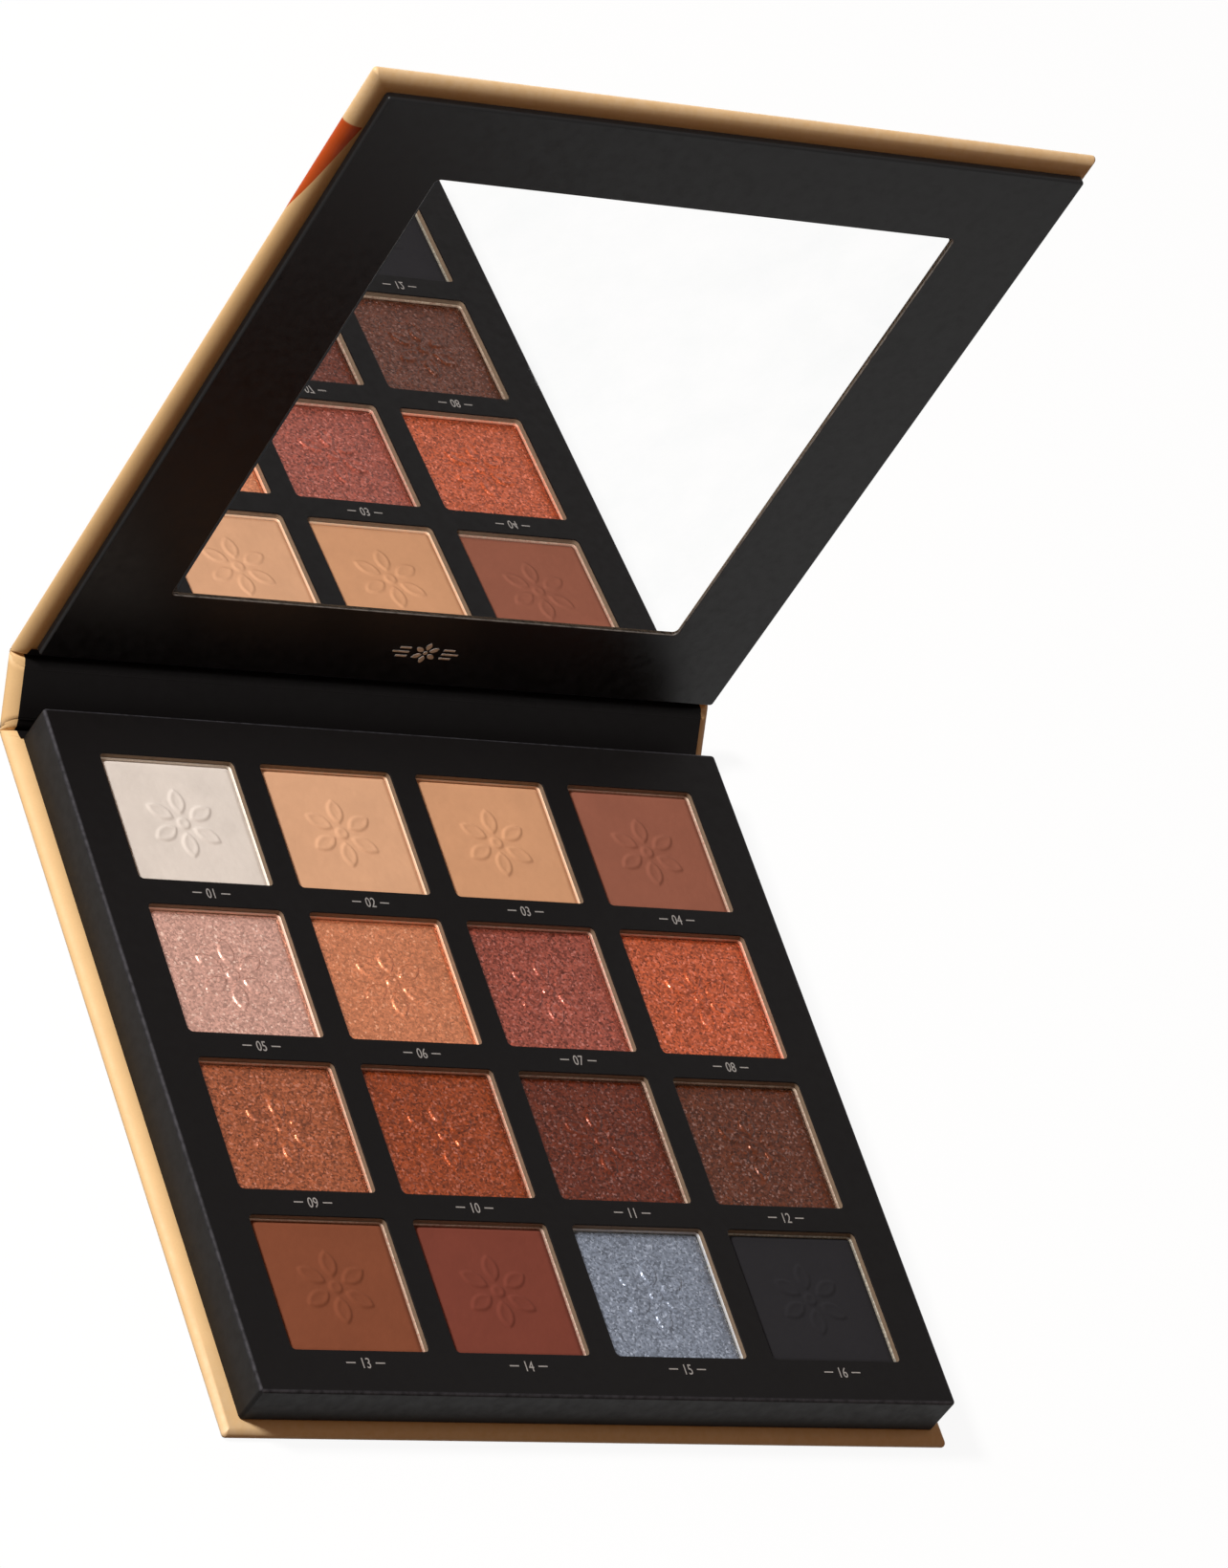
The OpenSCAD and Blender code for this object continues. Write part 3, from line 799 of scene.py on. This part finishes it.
def leaf_path():
    """Three free sides of the base or the lid, as functions from inset and height to a place."""
    half = CASE_W / 2

    def side(sx, t):
        def place(s, n):
            start = fold_start(n)
            return (sx * (half - s), start + t * (LEAF_D - max(CASE_CORNER_R, s) - start))
        return place

    def corner(sx, turn):
        def place(s, n):
            r = max(0.0, CASE_CORNER_R - s)
            grip = max(CASE_CORNER_R, s)
            return (sx * (half - grip) + r * math.cos(turn), LEAF_D - grip + r * math.sin(turn))
        return place

    shares = [k / SIDE_STEPS for k in range(SIDE_STEPS + 1)]
    path = [side(-1, t) for t in shares]
    path += [corner(-1, math.pi - turn) for turn in quarter(CORNER_STEPS)]
    path += [corner(1, math.pi / 2 - turn) for turn in quarter(CORNER_STEPS)]
    return path + [side(1, t) for t in reversed(shares)]


def leaf_wear(co):
    """Rub along the folded edges of the base or the lid, most at its corners."""
    from_x, from_y = CASE_W / 2 - abs(co.x), LEAF_D - co.y
    face = min(co.z + CREASE_R, INNER_N - co.z)
    corner = clamp(1 - math.hypot(from_x, from_y) / RUB_CORNER)
    edge = clamp(1.4 - (min(from_x, from_y) + face) / RUB_EDGE)
    return edge * (0.55 + 0.45 * corner) + 0.3 * corner


def spine_wear(co):
    """Rub at the ends of the spine and along its folds."""
    end = CASE_W / 2 - abs(co.x) + abs(co.z - INNER_N)
    fold = min(co.y, SPINE_D - co.y)
    return clamp(1.2 - end / RUB_END) + 0.5 * clamp(1 - fold / RUB_FOLD)


def make_leaf(name, node, body, place, material):
    """Wrap of the base or the lid: outer face, three rounded edges and the turned-in margins."""
    profile = edge_profile()
    path = leaf_path()
    rows = len(profile)
    points = [(*at(s, n), n) for at in path for s, n in profile]
    faces = sheet_faces(len(path), rows)
    faces.append([k * rows for k in range(len(path))])
    mesh = mesh_of(name, points, faces)
    piece = finish_piece(name, mesh, body, "tan_paper", place, material, leaf_wear,
                         solid=SHEET_SHARE * WRAP_T)
    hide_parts(node)


def make_core(name, node, body, place):
    """Board inside the wrap of the base or the lid: a slab with soft edges, mitred at the fold."""
    profile = core_profile()
    path = leaf_path()
    points = []
    for s, n in profile:
        ring = [at(s, n) for at in path]
        points += [(x, max(y, fold_start(n) + WRAP_T), n) for x, y in ring]
    mesh = closed_tube(name, points, len(profile))
    piece = finish_piece(name, mesh, body, "greyboard", place)
    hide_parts(node)


def spine_section(edge):
    """Section along the spine, made from the profile of its ends."""
    half = CASE_W / 2
    return [(half - s, n) for s, n in reversed(edge)] + [(s - half, n) for s, n in edge]


def make_spine():
    """Wrap of the spine: outer face, two rounded ends and their turned-in margins."""
    section = spine_section(edge_profile())
    points = []
    for k in range(CORNER_STEPS + 1):
        for x, n in section:
            start = fold_start(n)
            points.append((x, start + k / CORNER_STEPS * (SPINE_D - 2 * start), n))
    mesh = mesh_of("spine_cover", points, sheet_faces(CORNER_STEPS + 1, len(section)))
    piece = finish_piece("spine_cover", mesh, "spine", "tan_paper", SPINE_FRAME, wear=spine_wear,
                         solid=SHEET_SHARE * WRAP_T)
    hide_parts("spine_wrap")


def make_spine_core():
    """Board inside the spine's wrap."""
    section = spine_section(core_profile())
    near = [(x, fold_start(n) + WRAP_T, n) for x, n in section]
    far = [(x, SPINE_D - y, n) for x, y, n in near]
    mesh = closed_tube("spine_core", near + far, 2)
    piece = finish_piece("spine_core", mesh, "spine", "greyboard", SPINE_FRAME)
    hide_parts("spine_board")


def fold_point(axis, turn, v, n):
    """Place of a point beside a fold: v along a turned board, n over the fold's axis."""
    c, s = math.cos(turn), math.sin(turn)
    return (axis.y + v * c - n * s, axis.z + v * s + n * c)


def fold_line(axis, turns, section, low):
    """Line across a fold from half of its section, with its lowest point midway between the boards."""
    line = [fold_point(axis, turns[0], -v, n) for v, n in section]
    line.append(fold_point(axis, sum(turns) / 2, 0.0, low))
    return line + [fold_point(axis, turns[1], v, n) for v, n in reversed(section)]


def end_drop(inset):
    """How far the inner face of a wrapped board falls away towards its rounded end."""
    share = clamp(1 - inset / SOFT_W)
    return SOFT_H * (1 - (1 - share ** SOFT_FULL) ** (1 / SOFT_FULL))


def fold_piece(name, line_at, width, slot):
    """Closed piece of paper across a fold, drawn out along it and bent between its two boards."""
    ends = [SOFT_W * k / CORNER_STEPS for k in range(CORNER_STEPS + 1)]
    shares = [k / LENGTH_STEPS - 0.5 for k in range(1, LENGTH_STEPS)]
    stations = [s - width / 2 for s in ends] + [t * (width - 2 * SOFT_W) for t in shares]
    stations += [width / 2 - s for s in reversed(ends)]
    points = []
    for x in stations:
        points += [(x, y, z) for y, z in line_at(CASE_W / 2 - abs(x))]
    mesh = closed_tube(name, points, len(stations))
    piece = finish_piece(name, mesh, None, slot)
    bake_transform(piece)
    return piece


def make_fold(name, fold):
    """Paper of a fold: the wrap outside, the turned-in wrap in the groove and the liner over it."""
    axis, turns = fold[:2]
    liner = local_box("spine_liner", SPINE_FRAME)[1]
    ridge = [(FOLD_V + FOLD_LAP, INNER_N + FILM / 2), (FOLD_V, INNER_N), (RIDGE_V, INNER_N - FILM),
             (PILLOW_V, INNER_N - 2 * FILM), (GROOVE_V, GROOVE_N)]
    liner_end = FOLD_V + 2 * FOLD_LAP
    cover = [(FOLD_V + FOLD_LAP, INNER_N + 2 * FILM)] + [(v, n + FILM / 2) for v, n in ridge[1:]]

    def outer(inset):
        share = clamp(1 - inset / EDGE_R)
        low = EDGE_R * (1 - math.sqrt(1 - share * share)) - CREASE_R + FILM / 4
        bends = [turns[0] + (turns[1] - turns[0]) * k / CORNER_STEPS for k in range(CORNER_STEPS + 1)]
        line = [fold_point(axis, turns[0], -FOLD_SIDE, low)]
        line += [fold_point(axis, turn, 0.0, low) for turn in bends]
        line.append(fold_point(axis, turns[1], FOLD_SIDE, low))
        return line + fold_line(axis, turns, [(FOLD_SIDE, low + FILM)], low + 1.5 * FILM)[::-1]

    def groove(inset):
        fall = end_drop(inset)
        left = 1 - fall / INNER_N
        top = [(max(v - fall, v * left), n * left) for v, n in ridge]
        levels = [left * n for n in (INNER_N - FILM, 0.5 * INNER_N, 0.3 * INNER_N)]
        base = [(n + MITRE_STEP - FILM / 3, n) for n in levels]
        low = 0.25 * INNER_N * left
        return fold_line(axis, turns, top, NOTCH * left) + fold_line(axis, turns, base, low)[::-1]

    def lining(inset):
        top = [(liner_end, liner.z + FILM / 2)] + cover
        base = [(liner_end, liner.z)] + [(v, n - FILM / 3) for v, n in cover]
        under = fold_line(axis, turns, base, NOTCH + FILM / 2)
        return fold_line(axis, turns, top, NOTCH + FILM) + under[::-1]

    piece = fold_piece(f"{name}_fold_wrap", outer, CASE_W - 2 * FILM, "tan_paper")
    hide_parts(f"{name}_crease")
    fold_piece(f"{name}_groove_wrap", groove, CASE_W - FILM, "tan_paper")
    fold_piece(f"{name}_groove_liner", lining, 2 * liner.x, "black_paper")


def petal_arc(length, width):
    """Radius of the two arcs that bound a petal."""
    return (length * length + width * width) / (4 * width)


def petal_depth(x, y):
    """How deep a point lies inside the rosette, in metres; below zero outside it."""
    inside = DOT_R - math.hypot(x, y)
    petal_d = ROSETTE_R - DOT_R - DOT_GAP
    arc_r = petal_arc(petal_d, PETAL_W)
    shift = arc_r - PETAL_W / 2
    mid = ROSETTE_R - petal_d / 2
    for k in range(PETALS):
        turn = k * math.tau / PETALS
        u = x * math.cos(turn) + y * math.sin(turn)
        v = y * math.cos(turn) - x * math.sin(turn) - mid
        inside = max(inside, arc_r - max(math.hypot(u - shift, v), math.hypot(u + shift, v)))
    return inside


def powder_point(i, x, y, half, finish):
    """Point on a powder's face, with its height over the plain level."""
    rough, soft, relief = finish
    round_r = WINDOW_R + PAN_LAP - PAN_T - POWDER_FIT
    rim = half - max(abs(x), abs(y))
    dx, dy = abs(x) - (half - round_r), abs(y) - (half - round_r)
    if dx > 0 and dy > 0:
        pull = max(dx, dy) / math.hypot(dx, dy)
        x = math.copysign(half - round_r + dx * pull, x)
        y = math.copysign(half - round_r + dy * pull, y)
    z = -BEVEL_H * (1 - smooth(-0.35 * BEVEL_W, 1.15 * BEVEL_W, rim))
    depth = petal_depth(x, y)
    z += relief * smooth(-soft, soft, depth)
    z -= DISH_SHARE * relief * smooth(DISH_FROM, DISH_TO, depth)
    place = Vector((x + i * NOISE_PITCH, y, 0))
    z += rough * (noise.fractal(place * GRAIN_SCALE, 0.9, 2.0, 3) - 0.2)
    z += WAVE_H * noise.noise(place * WAVE_SCALE)
    return x, y, z


def make_powder(i):
    """Pressed powder: bevelled rim, raised rosette and a slightly uneven face."""
    low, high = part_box(numbered("powder", i))
    half = (high.x - low.x) / 2
    mid = (low + high) / 2
    colour, kind = SHADES[i]
    count, *finish = MATTE_FACE if kind == "matte" else SHIMMER_FACE
    face_z = high.z - finish[2]
    levels = [(2 * k / count - 1) * half for k in range(count + 1)]
    points = []
    for level_y in levels:
        for level_x in levels:
            x, y, z = powder_point(i, level_x, level_y, half, finish)
            points.append((mid.x + x, mid.y + y, face_z + z))
    side = count + 1
    faces = sheet_faces(side, side)
    ring = [*range(side)] + [k * side + count for k in range(1, side)]
    ring += [count * side + k for k in reversed(range(count))]
    ring += [k * side for k in reversed(range(1, count))]
    start = len(points)
    points += [(points[k][0], points[k][1], low.z) for k in ring]
    for k in range(len(ring)):
        n = (k + 1) % len(ring)
        faces.append((ring[n], ring[k], start + k, start + n))
    faces.append([start + k for k in reversed(range(len(ring)))])
    name = numbered("shadow", i)
    mesh = bpy.data.meshes.new(name)
    mesh.from_pydata(points, [], faces)
    seed = POWDER_SEED * (i + 1)
    if kind == "matte":
        material = matte_powder(name, colour, seed)
    else:
        material = shimmer_powder(name, colour, seed, *GRAIN[kind])
    piece = finish_piece(name, mesh, "base", numbered("shade", i), material=material, sharp=60)
    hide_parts(numbered("powder", i))


def make_rim(i):
    """Flared tin rim round a powder, inside the edge of its window."""
    waist, lip = 0.75 * RIM_FLARE, 0.3 * RIM_FLARE
    section = [(RIM_FLARE, RIM_FOOT), (waist, 0.5 * RIM_RISE), (lip, RIM_RISE), (lip, RIM_RISE - RIM_T),
               (waist, 0.5 * RIM_RISE - 2 * RIM_T), (RIM_FLARE, RIM_FOOT - RIM_T)]
    mid, top = pan_middle(i)
    points = []
    for inset, z in section:
        loop = arc_loop(WINDOW - 2 * inset, WINDOW - 2 * inset, WINDOW_R - inset, SIDE_STEPS)
        points += [(mid.x + x, mid.y + y, top + z) for x, y in loop]
    rings = len(section)
    name = numbered("rim", i)
    mesh = mesh_of(name, points, tube_faces(rings, len(points) // rings, joined=True))
    material = dusted_rim(name, SHADES[i][0], RIM_SEED * (i + 1))
    finish_piece(name, mesh, "base", "tinplate", material=material)


def flat_print(name, outlines, place, body, material):
    """Printed mark from flat outlines, as a film a little proud of the paper."""
    points, faces = [], []
    for outline in outlines:
        start, count = len(points), len(outline)
        points += [(x, y, 0.0) for x, y in outline] + [(x, y, INK_T) for x, y in outline]
        faces += end_faces(2, count, start) + tube_faces(2, count, start)
    finish_piece(name, mesh_of(name, points, faces), body, "black_paper", place, material)


def bar(from_x, to_x, low, high):
    """Outline of a printed bar."""
    x0, x1 = sorted((from_x, to_x))
    return [(x0, low), (x1, low), (x1, high), (x0, high)]


def number_mesh(name, words):
    """Mesh of a plain number, narrow and upright, with its middle at the origin."""
    curve = bpy.data.curves.new(name, "FONT")
    curve.body = words
    curve.size = NUMBER_H / DIGIT_SHARE
    curve.align_x = "CENTER"
    curve.extrude = INK_T / 2
    curve.resolution_u = 4
    helper = bpy.data.objects.new(name, curve)
    bpy.context.scene.collection.objects.link(helper)
    bpy.context.view_layer.update()
    mesh = bpy.data.meshes.new_from_object(helper)
    mesh.name = name
    bpy.data.objects.remove(helper)
    bpy.data.curves.remove(curve)
    mesh.transform(Matrix.Diagonal((NUMBER_NARROW, 1.0, 1.0, 1.0)))
    return mesh


def make_number(i):
    """A plain number between two short lines under a pan."""
    mid = pan_middle(i)[0]
    place = Matrix.Translation((mid.x, mid.y - WINDOW / 2 - NUMBER_DROP, tray_high.z + INK_T))
    name = numbered("number", i)
    mesh = number_mesh(name, f"{i + 1:02d}")
    finish_piece(name, mesh, "base", "black_paper", place, MATERIALS["ink"])
    lines = [bar(side * LINE_FROM, side * LINE_TO, LINE_LOW, LINE_HIGH) for side in (-1, 1)]
    flat_print(numbered("number_lines", i), lines, place, "base", MATERIALS["ink"])


def make_lid_mark():
    """Small white rosette between two sets of bars on the lid's lower border."""
    petal_d = (ROSETTE_R - DOT_R - DOT_GAP) * MARK_SCALE
    petal_w = PETAL_W * MARK_SCALE
    arc_r = petal_arc(petal_d, petal_w)
    spread = math.asin(petal_d / 2 / arc_r)
    mid = ROSETTE_R * MARK_SCALE - petal_d / 2
    outlines = []
    for k in range(PETALS):
        turn = Matrix.Rotation(k * math.tau / PETALS, 2)
        outline = []
        for sign in (1, -1):
            for s in range(CORNER_STEPS):
                bend = spread * (s / CORNER_STEPS * 2 - 1)
                u = sign * (arc_r * math.cos(bend) - arc_r + petal_w / 2)
                v = sign * arc_r * math.sin(bend) + mid
                outline.append(tuple(turn @ Vector((u, v))))
        outlines.append(outline)
    dot_r = DOT_R * MARK_SCALE
    turns = [k * math.tau / DOT_STEPS for k in range(DOT_STEPS)]
    outlines.append([(dot_r * math.cos(turn), dot_r * math.sin(turn)) for turn in turns])
    for side in (-1, 1):
        for y in (-BAR_PITCH, 0.0, BAR_PITCH):
            outlines.append(bar(side * BAR_FROM, side * (BAR_TO - abs(y)), y - BAR_HALF, y + BAR_HALF))
    face = local_box("panel_skin", LID_FRAME)[1].z
    place = LID_FRAME @ Matrix.Translation((MARK_X, MARK_Y, face + MARK_LIFT))
    flat_print("lid_mark", outlines, place, "lid", MATERIALS["white_ink"])


def dress_solids():
    """Finishes for the solids that stay in view."""
    for part in frame["record"]["subparts"]:
        node = nodes[part["node"]]
        material = MATERIALS.get(part["material_slot"])
        if material is not None:
            node.data.materials.clear()
            node.data.materials.append(material)


def make_camera():
    """Camera that sees the case as the photograph does."""
    lens = bpy.data.cameras.new("camera")
    lens.lens = LENS
    camera = bpy.data.objects.new("camera", lens)
    bpy.context.scene.collection.objects.link(camera)
    back = Vector((math.sin(VIEW_AZIMUTH) * math.cos(VIEW_ELEVATION),
                   -math.cos(VIEW_AZIMUTH) * math.cos(VIEW_ELEVATION), math.sin(VIEW_ELEVATION)))
    turn = (-back).to_track_quat("-Z", "Y").to_matrix().to_4x4() @ Matrix.Rotation(VIEW_ROLL, 4, "Z")
    camera.matrix_world = Matrix.Translation(AIM + back * VIEW_DISTANCE) @ turn
    bpy.context.scene.camera = camera


def make_lamp():
    """Square soft lamp that looks at the middle of the case."""
    light = bpy.data.lights.new("key", "AREA")
    light.size = KEY_SIZE
    light.energy = KEY_POWER
    light.color = KEY_COLOUR
    lamp = bpy.data.objects.new("key", light)
    bpy.context.scene.collection.objects.link(lamp)
    away = Vector(KEY_FROM).normalized()
    lamp.location = Vector(KEY_AIM) + away * KEY_DISTANCE
    lamp.rotation_mode = "QUATERNION"
    lamp.rotation_quaternion = (-away).to_track_quat("-Z", "Y")
    return lamp


def pass_by(lamp, pieces):
    """Lets a lamp shine past some pieces, as the photograph's light shines past the open lid."""
    skipped = bpy.data.collections.new("skipped_by_" + lamp.name)
    lamp.light_linking.blocker_collection = skipped
    for piece in pieces:
        skipped.objects.link(piece)
    for entry in skipped.collection_objects:
        entry.light_linking.link_state = "EXCLUDE"


def seen_by_eye(tree):
    """Share of rays that look at a surface straight or through gloss or glass."""
    path = tree.nodes.new("ShaderNodeLightPath")
    share = path.outputs["Is Camera Ray"]
    for kind in ("Is Glossy Ray", "Is Transmission Ray"):
        either = tree.nodes.new("ShaderNodeMath")
        either.operation = "MAXIMUM"
        tree.links.new(share, either.inputs[0])
        tree.links.new(path.outputs[kind], either.inputs[1])
        share = either.outputs[0]
    return share


def make_floor():
    """White floor that keeps a faint shadow and sends warm light back up."""
    mesh = bpy.data.meshes.new("floor")
    signs = ((-1, -1), (1, -1), (1, 1), (-1, 1))
    mesh.from_pydata([(sx * FLOOR_HALF, sy * FLOOR_HALF, 0.0) for sx, sy in signs], [], [(0, 1, 2, 3)])
    floor = bpy.data.objects.new("floor", mesh)
    bpy.context.scene.collection.objects.link(floor)
    floor.location.z = -FLOOR_DROP
    shade = Shade("floor")
    shade.paint(Base_Color=FLOOR_TONE, Roughness=0.9, Specular_IOR_Level=0.0)
    glow = shade.add("Emission", inputs={"Color": WHITE, "Strength": 1.0}).outputs[0]
    bounce = shade.add("BsdfDiffuse", inputs={"Color": linear(BOUNCE)}).outputs[0]
    seen = shade.add("MixShader", inputs={0: FLOOR_GLOW, 1: shade.surface.outputs[0], 2: glow}).outputs[0]
    both = shade.add("MixShader", inputs={0: seen_by_eye(shade.tree), 1: bounce, 2: seen}).outputs[0]
    shade.feed(shade.tree.nodes["Material Output"], "Surface", both)
    mesh.materials.append(shade.material)


def make_surround():
    """Surround that looks white but fills in warmly."""
    world = bpy.data.worlds.new("surround")
    bpy.context.scene.world = world
    world.use_nodes = True
    tree = world.node_tree
    white = tree.nodes["Background"]
    white.inputs["Color"].default_value = WHITE
    white.inputs["Strength"].default_value = 1.0
    fill = tree.nodes.new("ShaderNodeBackground")
    fill.inputs["Color"].default_value = linear(FILL)
    fill.inputs["Strength"].default_value = FILL_STRENGTH
    blend = tree.nodes.new("ShaderNodeMixShader")
    tree.links.new(seen_by_eye(tree), blend.inputs[0])
    tree.links.new(fill.outputs[0], blend.inputs[1])
    tree.links.new(white.outputs[0], blend.inputs[2])
    tree.links.new(blend.outputs[0], tree.nodes["World Output"].inputs["Surface"])


make_camera()
make_floor()
make_surround()
key = make_lamp()
dress_solids()
make_tray_skin()
make_panel_skin()
make_leaf("base_cover", "base_wrap", "base", BASE_FRAME, MATERIALS["tan_paper"])
make_leaf("lid_cover", "lid_wrap", "lid", LID_FRAME, MATERIALS["lid_paper"])
make_spine()
make_core("base_core", "base_board", "base", BASE_FRAME)
make_core("lid_core", "lid_board", "lid", LID_FRAME)
make_spine_core()
make_fold("lower", (fold_a, (0.0, SPINE_ANGLE), ("base", "spine")))
make_fold("upper", (fold_b, (SPINE_ANGLE, LID_ANGLE), ("spine", "lid")))
make_mirror()
for make_one in (make_powder, make_rim, make_number):
    for index in range(PANS):
        make_one(index)
make_lid_mark()
lid_pieces = [nodes[name] for name in LID_NODES] + [bpy.data.objects[name] for name in LID_PIECES]
pass_by(key, lid_pieces)
bpy.context.scene.view_settings.view_transform = "Standard"
